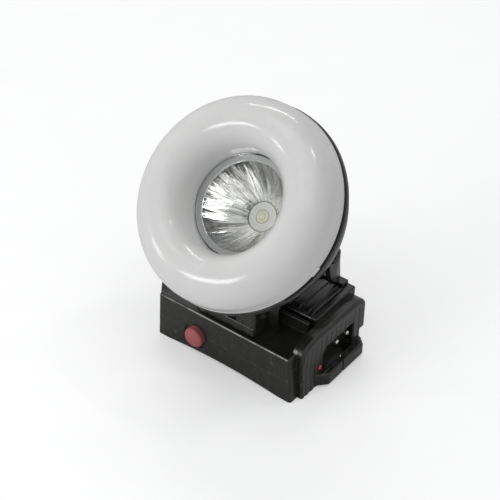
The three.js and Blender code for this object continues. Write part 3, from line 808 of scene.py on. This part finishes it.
# Charging inlet: a black socket moulding let into the right-hand end, with two nickel-plated round
# pins, and a red indicator light in front of it.
socket_low, socket_high = node_box("inlet_socket")
pin_low, pin_high = node_box("inlet_pin_front")
rear_low, rear_high = node_box("inlet_pin_rear")
PIN_RADIUS, PIN_TIP = 1.2, 0.7
SOCKET_FLANGE_X, COLLAR_RADIUS, COLLAR_OUT = 37.3, 2.1, 0.45

socket = part("inlet_socket_moulding", block(
    (SOCKET_FLANGE_X - 1.3, socket_high.x), (2.6, socket_high.y), (socket_low.z, 19.3), 0.25))
join(socket, block((socket_low.x, SOCKET_FLANGE_X), (socket_low.y, socket_high.y),
                   (socket_low.z, socket_high.z)))
pin_z = (pin_low.z + pin_high.z) / 2
pin_ys = [(low.y + high.y) / 2 for low, high in ((pin_low, pin_high), (rear_low, rear_high))]
for y in pin_ys:
    join(socket, rod("x", (y, pin_z), COLLAR_RADIUS, socket_high.x - 1, socket_high.x + COLLAR_OUT, sides=40,
                     end_radius=COLLAR_RADIUS - 0.2))
cut(socket, *(rod("x", (y, pin_z), PIN_RADIUS + 0.15, 30, 50, sides=40) for y in pin_ys))
finished(socket, "base", "black_cover", cover_black, "inlet_socket")


def metal(name, colour, gloss, streaks=(1.0, 1.0, 1.0), marks=0.15):
    """Bare or plated metal with fine tool marks along one direction."""
    material, tree = new_material(name)
    here = object_place(tree)
    along = add_node(tree, "Mapping", {"Vector": here, "Scale": streaks}).outputs[0]
    lines = noise(tree, along, 900.0, 4.0, 0.65)
    stain = use_group(tree, grain_group, {"Vector": here, "Scale": 300.0})
    tone = blended(tree, times(tree, stain["Drift"], marks * 3), colour, shade(colour, 0.62))
    rough = plus(tree, between(tree, lines, gloss[0], gloss[1]), times(tree, stain["Height"], 0.08))
    coated(tree, Base_Color=tone, Roughness=rough, Normal=bumped(tree, lines, 0.000004), Metallic=1.0)
    return material


nickel = metal("nickel_plate", rgb(0.78, 0.77, 0.74), (0.12, 0.3), streaks=(0.15, 1, 1))
to_end = Matrix.Rotation(math.pi / 2, 4, "Y")
for name, y in zip(("inlet_pin_front", "inlet_pin_rear"), pin_ys):
    low, high = node_box(name)
    profile = [(0, low.x), (PIN_RADIUS - 0.1, low.x), (PIN_RADIUS, low.x + 0.1)]
    profile += curve((PIN_RADIUS - PIN_TIP, high.x - PIN_TIP), (PIN_TIP, PIN_TIP), 0, 90, 8) + [(0, high.x)]
    pin = moved(spun(profile, 40), Matrix.Translation((0, y, pin_z)) @ to_end)
    finished(part(name + "_turned", pin), "base", "nickel", nickel, name)

red_light = moulded("red_indicator_lens", rgb(0.5, 0.045, 0.06), rgb(0.9, 0.5, 0.5), (0.12, 0.22), dust=0.1)
light_low, light_high = node_box("charge_indicator")
profile = [(0, light_low.x), (light_radius, light_low.x)]
profile += curve((0, light_high.x - 0.9), (light_radius, 0.9), 0, 90, 10)
indicator = moved(spun(profile, 40), Matrix.Translation((0, light_y, light_z)) @ to_end)
finished(part("charge_indicator_lens", indicator), "base", "red_indicator", red_light, "charge_indicator")


# Yoke: one black moulding on the pods behind the head, a flat foot with an upright arm on each side.
# Two screws through the foot hold it to the pods, and the head tilts between the tops of the arms.
tilt_joint = next(j for j in frame["joints"] if j["name"] == "head_tilt")
pivot = Vector(tilt_joint["pos_m"]) / MM
tilt = math.radians(tilt_joint["range_deg"][1])
yoke_low, yoke_high = node_box("yoke")
FOOT_FRONT, FOOT_THICK = 22.2, 1.8
ARM_INNER, ARM_OUTER, ARM_TOP_RADIUS = 28.5, 31.5, 4.9
FLANK_START, FLANK_LEAN = 17.5, 3.2

foot_top = yoke_low.z + FOOT_THICK
yoke = part("yoke_moulding", block(
    (yoke_low.x, yoke_high.x), (FOOT_FRONT, yoke_high.y), (yoke_low.z, foot_top), 0.5,
    lambda a, b: max(a.z, b.z) > yoke_low.z + 0.5))
arm_outline = [(22.4, yoke_low.z), (26.4, yoke_low.z), (25.6, 37.5), (25, 40), (23.9, 44), (22.9, 48)]
arm_outline += curve((pivot.y, pivot.z), (ARM_TOP_RADIUS, ARM_TOP_RADIUS), 10, 190, 20)
arm_outline += [(13.2, 48.5), (14.2, 44), (16.4, 40.3), (19.6, 37.6), (22.4, foot_top)]


def arm_rim(a, b):
    return abs(a.x - b.x) < 0.01 and (min(a.x, b.x) > ARM_OUTER - 0.1 or max(a.x, b.x) < ARM_INNER + 0.1)


arm = slab(arm_outline, "x", ARM_INNER, ARM_OUTER, 0.5, arm_rim, 3)
join(yoke, *both_sides(arm))
flank = slab([(ARM_OUTER + 0.02, FLANK_START), (34, FLANK_START), (34, FLANK_START + 12),
              (28.7, FLANK_START + 11)], "z", foot_top, pivot.z)
bmesh.ops.translate(flank, vec=(0, FLANK_LEAN, 0), verts=[v for v in flank.verts if v.co.z > foot_top + 1])
cut(yoke, *both_sides(flank))
for radius, start in ((2, ARM_INNER - 1), (3.3, ARM_INNER + 1.6)):
    cut(yoke, *both_sides(rod("x", (pivot.y, pivot.z), radius, start, ARM_OUTER + 1, sides=64)))
cut(yoke, *both_sides(rod("z", (YOKE_SCREW_X, YOKE_SCREW_Y), 1.6, 30, 40, sides=32)))
finished(yoke, *CASING, "yoke")


# Screws: steel with pan heads and cross recesses. Four zinc-plated ones close the casing from the
# cap side and two hold the yoke down. Two blackened ones are the pins that the head tilts on.
zinc = metal("zinc_plate", rgb(0.56, 0.57, 0.58), (0.2, 0.42), marks=0.25)
blackened = metal("blackened_steel", rgb(0.05, 0.05, 0.048), (0.3, 0.5), marks=0.25)


def screw(head_radius, head_height, shank_radius, length):
    """A screw on the origin, its head's face down and its shank up, with a bevelled thread end."""
    edge = head_height * 0.55
    profile = [(0, 0), (head_radius - edge, 0)]
    profile += curve((head_radius - edge, edge), (edge, edge), -90, 0, 6)[1:]
    profile += [(head_radius, head_height), (shank_radius, head_height)]
    z, pitch = head_height + 0.4, 0.9
    while z < length - 1.6:
        profile += [(shank_radius, z), (shank_radius - 0.22, z + pitch / 2)]
        z += pitch
    profile += [(shank_radius, length - 1.2), (shank_radius * 0.4, length), (0, length)]
    body = part("screw", spun(profile, 40))
    wing, depth = head_radius * 0.52, head_height * 0.55
    for long_x, long_y in ((wing, 0.32), (0.32, wing)):
        slot = block((-long_x, long_x), (-long_y, long_y), (-1, depth))
        bmesh.ops.scale(slot, vec=(0.62, 0.62, 1), verts=[v for v in slot.verts if v.co.z > 0])
        cut(body, slot)
    return taken(body)


def driven(name, body, tip, turned, sizes, finish):
    """Puts one screw, its head's face at tip, in the place of its node."""
    shape = moved(screw(*sizes), Matrix.Translation(tip) @ turned)
    finished(part(name + "_turned", shape), body, "steel", finish, name)


for i in range(len(screw_places)):
    low, high = node_box(f"shell_screw_{i + 1}")
    tip = ((low.x + high.x) / 2, (low.y + high.y) / 2, low.z)
    driven(f"shell_screw_{i + 1}", "base", tip, Matrix.Identity(4), (2.6, 1.2, 1.1, high.z - low.z), zinc)
head_up = Matrix.Rotation(math.pi, 4, "X")
for side in ("right", "left"):
    low, high = node_box(f"yoke_screw_{side}")
    tip = ((low.x + high.x) / 2, (low.y + high.y) / 2, high.z)
    driven(f"yoke_screw_{side}", "base", tip, head_up, (2.7, 1.4, 1.3, high.z - low.z), zinc)
for side, sign in (("right", 1), ("left", -1)):
    low, high = node_box(f"pivot_screw_{side}")
    tip = (high.x if sign > 0 else low.x, pivot.y, pivot.z)
    head_out = Matrix.Rotation(-sign * math.pi / 2, 4, "Y")
    driven(f"pivot_screw_{side}", "head", tip, head_out, (3, 1.3, 1.1, high.x - low.x), blackened)


# Button spring: three turns of steel wire between the button's flange and the switch. Its rear end stays
# on the switch.
SPRING_TURNS, WIRE_RADIUS, WIRE_SIDES, TURN_STEPS = 3, 0.35, 12, 40
spring_low, spring_high = node_box("button_spring")
spring_middle = (spring_low + spring_high) / 2
coil_radius = (spring_high.x - spring_low.x) / 2 - WIRE_RADIUS
coil_start, coil_end = spring_low.y + WIRE_RADIUS, spring_high.y - WIRE_RADIUS
coil = bmesh.new()
wire_rings = []
for i in range(SPRING_TURNS * TURN_STEPS + 1):
    share = i / (SPRING_TURNS * TURN_STEPS)
    turn = share * SPRING_TURNS * 2 * math.pi
    outward = Vector((math.cos(turn), 0, math.sin(turn)))
    centre = outward * coil_radius + Vector((spring_middle.x, coil_start + (coil_end - coil_start) * share,
                                             spring_middle.z))
    ring = []
    for j in range(WIRE_SIDES):
        angle = 2 * math.pi * j / WIRE_SIDES
        spoke = outward * math.cos(angle) + Vector((0, math.sin(angle), 0))
        ring.append(coil.verts.new(centre + spoke * WIRE_RADIUS))
    wire_rings.append(ring)
for first, second in zip(wire_rings, wire_rings[1:]):
    for j in range(WIRE_SIDES):
        k = (j + 1) % WIRE_SIDES
        coil.faces.new((first[j], first[k], second[k], second[j]))
coil.faces.new(wire_rings[0])
coil.faces.new(wire_rings[-1])
bmesh.ops.recalc_face_normals(coil, faces=coil.faces)
spring_steel = metal("spring_steel", rgb(0.5, 0.5, 0.5), (0.2, 0.35))
spring = part("button_spring_coil", coil)
finished(spring, "base", "steel", spring_steel, "button_spring")
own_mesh(spring)


# Lamp cup: the black rear housing of the head, a deep bowl that ends in a hollow neck. A boss on
# each side of the neck takes a pivot screw, and a flat rim carries the diffuser.
HEAD_OFFSET, RIM_TO_PIVOT = 2.2, 45.1
RIM_RADIUS, CUP_SKIN = 50, 1.8
NECK_RADIUS, NECK_END = 22.85, -49.2
BOSS_RADIUS, BOSS_END, PIVOT_BORE, BORE_END = 5.6, 28.2, 1.4, 30
head_place = (Matrix.Translation(pivot) @ Matrix.Rotation(tilt, 4, "X")
              @ Matrix.Translation((0, HEAD_OFFSET, RIM_TO_PIVOT)))

neck_inner, neck_floor = NECK_RADIUS - CUP_SKIN, NECK_END + CUP_SKIN
outer = [(RIM_RADIUS - 0.4, -0.9), (RIM_RADIUS, -1.3), (RIM_RADIUS, -3.4), (RIM_RADIUS - 0.5, -4),
         (47.6, -6.2)]
outer += curve((12, -3), (35.8, 33.5), -8, -66, 22)
outer += [(24.6, -35.6), (NECK_RADIUS, -37.4), (NECK_RADIUS, NECK_END + 1.2),
          (NECK_RADIUS - 0.4, NECK_END + 0.4), (NECK_RADIUS - 1.2, NECK_END), (0, NECK_END)]
inner = [(0, neck_floor), (neck_inner, neck_floor), (neck_inner, -36)]
inner += curve((12, -3), (34, 31.7), -68, -8, 16)
inner += [(48, -3.6), (48, -0.9), (RIM_RADIUS - 0.4, -0.9)]
cup = part("lamp_cup_moulding", spun(outer + inner, 144))
pivot_line = (-HEAD_OFFSET, -RIM_TO_PIVOT)
boss = rod("x", pivot_line, BOSS_RADIUS, NECK_RADIUS - 4, BOSS_END, sides=64)
soften(boss, 0.4, lambda a, b: min(a.x, b.x) > 28, 2)
join(cup, *both_sides(boss))
cut(cup, rod("z", (0, 0), neck_inner, neck_floor, -37, sides=96))
cut(cup, *both_sides(rod("x", pivot_line, PIVOT_BORE, NECK_RADIUS - 5, BORE_END, sides=32)))
finished(cup, "head", "black_casing", casing_black, "lamp_cup", sharp=30, place=head_place)

gasket_rubber = moulded("gasket_rubber", rgb(0.006, 0.006, 0.006), rgb(0.08, 0.08, 0.08), (0.55, 0.7),
                        scratches=0.2)
GASKET_MIDDLE, GASKET_HALVES = (48.7, -0.3), (0.7, 0.3)
gasket = part("rim_gasket_ring", spun(curve(GASKET_MIDDLE, GASKET_HALVES, 0, 360, 16), 144))
finished(gasket, "head", "black_wire", gasket_rubber, "rim_gasket", sharp=60, place=head_place)


# Diffuser: a hollow donut of milky polycarbonate over the side lights. It is clipped to the rim by
# small tabs, and its inner wall runs down to the reflector's flange.
CREST_RADIUS, CREST_Z, BULGE_Z = 35.6, 20.45, 6.6
OUTER_HALF, HOLE_RADIUS, DIFFUSER_SKIN = 13.4, 24.4, 1.8
MOUTH_RADIUS, MOUTH_Z = 21.7, -0.1
TAB_ANGLES, TAB_SIZES = (-15, 105, 225), ((48.6, 49.9), (-2.4, 2.4), (0.35, 2.4))

inner_half = CREST_RADIUS - HOLE_RADIUS
rise = CREST_Z - BULGE_Z
profile = [(49.1, 0.3), (49.4, 0.6), (49.4, 1.3), (49.1, 1.6)]
crest = (CREST_RADIUS, BULGE_Z)
profile += curve(crest, (OUTER_HALF, rise), 0, 90, 26)
profile += curve(crest, (inner_half, rise), 90, 180, 26)[1:]
foot = MOUTH_Z + 0.3
profile += [(HOLE_RADIUS, foot + 0.2), (HOLE_RADIUS + 0.2, foot), (HOLE_RADIUS + DIFFUSER_SKIN, foot)]
profile += curve(crest, (inner_half - DIFFUSER_SKIN, rise - DIFFUSER_SKIN), 180, 90, 16)
profile += curve(crest, (OUTER_HALF - DIFFUSER_SKIN, rise - DIFFUSER_SKIN), 90, 0, 16)[1:]
profile += [(47.2, 0.3), (49.1, 0.3)]
diffuser = part("diffuser_moulding", spun(profile, 192))
for angle in TAB_ANGLES:
    tab = block(*TAB_SIZES, 0.3)
    join(diffuser, moved(tab, Matrix.Rotation(math.radians(angle), 4, "Z")))

milky, tree = new_material("milky_polycarbonate")
here = object_place(tree)
texture = use_group(tree, grain_group, {"Vector": here, "Scale": 420.0})
lines = use_group(tree, scratch_group, {"Vector": here, "Scale": 200.0, "Share": 0.3})["Mask"]
dusty = use_group(tree, dust_group, {"Vector": here, "Specks": 1100.0})
tone = blended(tree, texture["Drift"], rgb(0.74, 0.735, 0.73), rgb(0.79, 0.785, 0.775))
tone = blended(tree, times(tree, dusty["Film"], 0.12), tone, rgb(0.5, 0.49, 0.46))
tone = blended(tree, times(tree, dusty["Specks"], 0.5), tone, rgb(0.3, 0.29, 0.27))
tone = blended(tree, times(tree, lines, 0.1), tone, rgb(0.5, 0.5, 0.5))
rough = plus(tree, between(tree, texture["Drift"], 0.1, 0.2), times(tree, lines, 0.2))
height = plus(tree, texture["Height"], times(tree, lines, -0.4))
coated(tree, Base_Color=tone, Roughness=rough, Normal=bumped(tree, height, 0.000012), IOR=1.5,
       Subsurface_Weight=0.35, Subsurface_Radius=(0.004, 0.004, 0.0038), Subsurface_Scale=0.6)
finished(diffuser, "head", "milk_white", milky, "diffuser", sharp=50, place=head_place)


# Reflector: a bowl of vacuum-metallised plastic. The metal coat follows every ripple of the moulding,
# so what it mirrors breaks up into streaks that run out from the LED, and dark streaks along the same
# ripple are painted into its colour as painted reflection.
LED_Z, LED_DISC_RADIUS = -21, 7.15
BOWL_STEPS = 30

foot_radius = LED_DISC_RADIUS + 0.3
bend = (MOUTH_Z - LED_Z) / (MOUTH_RADIUS ** 2 - foot_radius ** 2)
bowl = []
for i in range(BOWL_STEPS + 1):
    r = foot_radius + (MOUTH_RADIUS - foot_radius) * i / BOWL_STEPS
    bowl.append((r, LED_Z + bend * (r ** 2 - foot_radius ** 2)))
flange, flange_foot, lip = HOLE_RADIUS - 0.3, MOUTH_Z - 1.2, MOUTH_Z + 0.12
rim = [(MOUTH_RADIUS + 0.15, lip), (MOUTH_RADIUS + 0.45, lip), (MOUTH_RADIUS + 0.6, MOUTH_Z),
       (flange, MOUTH_Z), (flange, flange_foot), (MOUTH_RADIUS + 0.6, flange_foot)]
behind = [(r + 1.1, z - 0.9) for r, z in bowl[-2::-3]]
reflector_bm = spun(bowl + rim + behind + [bowl[0]], 160)

mirror, tree = new_material("mirror_coat")
here = object_place(tree)
axis_foot = head_place @ Vector((0, 0, 0)) * MM
on_axis = add_node(tree, "Mapping", {"Vector": here, "Location": tuple(-axis_foot)}).outputs[0]
upright_axis = add_node(tree, "Mapping", {"Vector": on_axis, "Rotation": (-tilt, 0, 0)}).outputs[0]
parts_of = add_node(tree, "SeparateXYZ", {0: upright_axis}).outputs
around = maths(tree, "ARCTAN2", parts_of["Y"], parts_of["X"])
polar = add_node(tree, "CombineXYZ", {
    "X": maths(tree, "SINE", around), "Y": maths(tree, "COSINE", around),
    "Z": times(tree, parts_of["Z"], 9.0),
}).outputs[0]
ripple = noise(tree, polar, 3.2, 3.0, 0.55)
dents = noise(tree, here, 340.0, 2.0)
inside_bowl = ranged(tree, parts_of["Z"], flange_foot * MM, (MOUTH_Z - 0.3) * MM, 1.0, 0.0)
height = times(tree, plus(tree, ripple, times(tree, dents, 0.12)), inside_bowl)
haze = use_group(tree, grain_group, {"Vector": here, "Scale": 800.0})
# Painted reflection: dark radial streaks along the ripple darken the bowl's colour.
painted_streaks = times(tree, ranged(tree, ripple, 0.52, 0.62), inside_bowl)
tone = blended(tree, haze["Drift"], rgb(0.97, 0.97, 0.97), rgb(0.86, 0.85, 0.82))
tone = blended(tree, times(tree, painted_streaks, 0.8), tone, rgb(0.32, 0.31, 0.29))
tone = blended(tree, inside_bowl, rgb(0.66, 0.66, 0.65), tone)
rough = plus(tree, between(tree, haze["Drift"], 0.03, 0.12), times(tree, haze["Height"], 0.04))
rough = between(tree, inside_bowl, 0.6, rough)
coated(tree, Base_Color=tone, Roughness=rough, Normal=bumped(tree, height, 0.0013), Metallic=inside_bowl)
finished(part("reflector_bowl", reflector_bm), "head", "mirror_chrome", mirror, "reflector", sharp=40,
         place=head_place)


# Lens: a flat window of clear polycarbonate that closes the reflector, held by the diffuser's wall.
LENS_RADIUS = HOLE_RADIUS - 0.35
lens_profile = [(0, MOUTH_Z + 0.3), (LENS_RADIUS - 0.2, MOUTH_Z + 0.3), (LENS_RADIUS, MOUTH_Z + 0.5),
                (LENS_RADIUS, MOUTH_Z + 1.6), (LENS_RADIUS - 0.2, MOUTH_Z + 1.8), (0, MOUTH_Z + 1.8)]
clear, tree = new_material("clear_polycarbonate")
here = object_place(tree)
lines = use_group(tree, scratch_group, {"Vector": here, "Share": 0.3})["Mask"]
film = use_group(tree, grain_group, {"Vector": here})["Drift"]
sheen = add_node(tree, "BsdfGlossy", {
    "Color": rgb(1, 1, 1), "Roughness": plus(tree, between(tree, film, 0.0, 0.05), times(tree, lines, 0.2)),
})
through = add_node(tree, "BsdfTransparent", {
    "Color": blended(tree, film, rgb(0.95, 0.96, 0.96), rgb(0.98, 0.98, 0.98)),
})
fresnel = add_node(tree, "Fresnel", {"IOR": 1.5}).outputs[0]
window = add_node(tree, "MixShader", {"Fac": fresnel, 1: through.outputs[0], 2: sheen.outputs[0]})
surface(tree, window.outputs[0])
finished(part("lens_window", spun(lens_profile, 144)), "head", "clear_lens", clear, "lens", place=head_place)


# LED: a dome of clear silicone over yellow phosphor, in a white holder turned with shallow rings.
DISC_FOOT, WELL_RADIUS, WELL_DEPTH = -22.6, 3.4, 0.7
holder_profile = [(0, DISC_FOOT), (LED_DISC_RADIUS, DISC_FOOT), (LED_DISC_RADIUS, LED_Z - 0.3),
                  (LED_DISC_RADIUS - 0.2, LED_Z), (6.1, LED_Z), (5.95, LED_Z - 0.16), (5.5, LED_Z - 0.16),
                  (5.35, LED_Z), (4.5, LED_Z), (4.35, LED_Z - 0.16), (4.0, LED_Z - 0.16), (3.85, LED_Z),
                  (WELL_RADIUS + 0.1, LED_Z), (WELL_RADIUS, LED_Z - 0.1), (WELL_RADIUS, LED_Z - WELL_DEPTH),
                  (0, LED_Z - WELL_DEPTH)]
white_plastic = moulded("white_plastic", rgb(0.84, 0.83, 0.8), rgb(0.9, 0.9, 0.88), (0.35, 0.5), dust=0.0,
                        scratches=0.1, wear=0.1)
holder = part("led_holder_turned", spun(holder_profile, 96))
finished(holder, "head", "white_plastic", white_plastic, "led_holder", sharp=25, place=head_place)

LED_BASE, LED_BASE_RADIUS, LED_BASE_THICK, DOME_RADIUS, DOME_RISE = LED_Z - WELL_DEPTH + 0.3, 3, 0.6, 1.9, 1.7
emitter_profile = [(0, LED_BASE), (LED_BASE_RADIUS, LED_BASE), (LED_BASE_RADIUS, LED_BASE + LED_BASE_THICK)]
emitter_profile += curve((0, LED_BASE + LED_BASE_THICK), (DOME_RADIUS, DOME_RISE), 0, 90, 14)
phosphor = moulded("phosphor", rgb(0.82, 0.81, 0.6), rgb(0.9, 0.9, 0.8), (0.06, 0.12), dust=0.0,
                   scratches=0.0, wear=0.0, specular=0.8)
finished(part("led_emitter_dome", spun(emitter_profile, 64)), "head", "led_yellow", phosphor, "led_emitter",
         place=head_place)


# Inside: battery, boards, switch, wires, heat sink and side lights. They stay as the design has them
# and only take their finishes.
green_mask = moulded("green_solder_mask", rgb(0.02, 0.13, 0.05), rgb(0.5, 0.5, 0.3), (0.25, 0.4), dust=0.0)
white_mask = moulded("white_solder_mask", rgb(0.72, 0.72, 0.7), rgb(0.8, 0.8, 0.8), (0.3, 0.4), dust=0.0)
shrink_film = moulded("battery_film", rgb(0.02, 0.09, 0.3), rgb(0.3, 0.4, 0.6), (0.18, 0.35), grain=260.0,
                      depth=0.0001, dust=0.0)
red_pvc = moulded("red_wire_pvc", rgb(0.42, 0.02, 0.02), rgb(0.7, 0.4, 0.4), (0.35, 0.5), dust=0.0)
black_pvc = moulded("black_wire_pvc", rgb(0.01, 0.01, 0.01), rgb(0.2, 0.2, 0.2), (0.35, 0.5), dust=0.0)
bare_aluminium = metal("bare_aluminium", rgb(0.62, 0.63, 0.64), (0.3, 0.5), streaks=(1, 0.1, 1))
inside = {
    "battery_pack": shrink_film, "battery_lead_positive": red_pvc, "battery_lead_negative": black_pvc,
    "charger_board": green_mask, "driver_board": green_mask, "side_light_board": white_mask,
    "switch_body": cover_black, "heat_sink": bare_aluminium,
}
inside.update({name: phosphor for name in frame["nodes"] if name.startswith("side_led_")})
for name, material in inside.items():
    mesh = frame["nodes"][name].data
    mesh.materials.clear()
    mesh.materials.append(material)
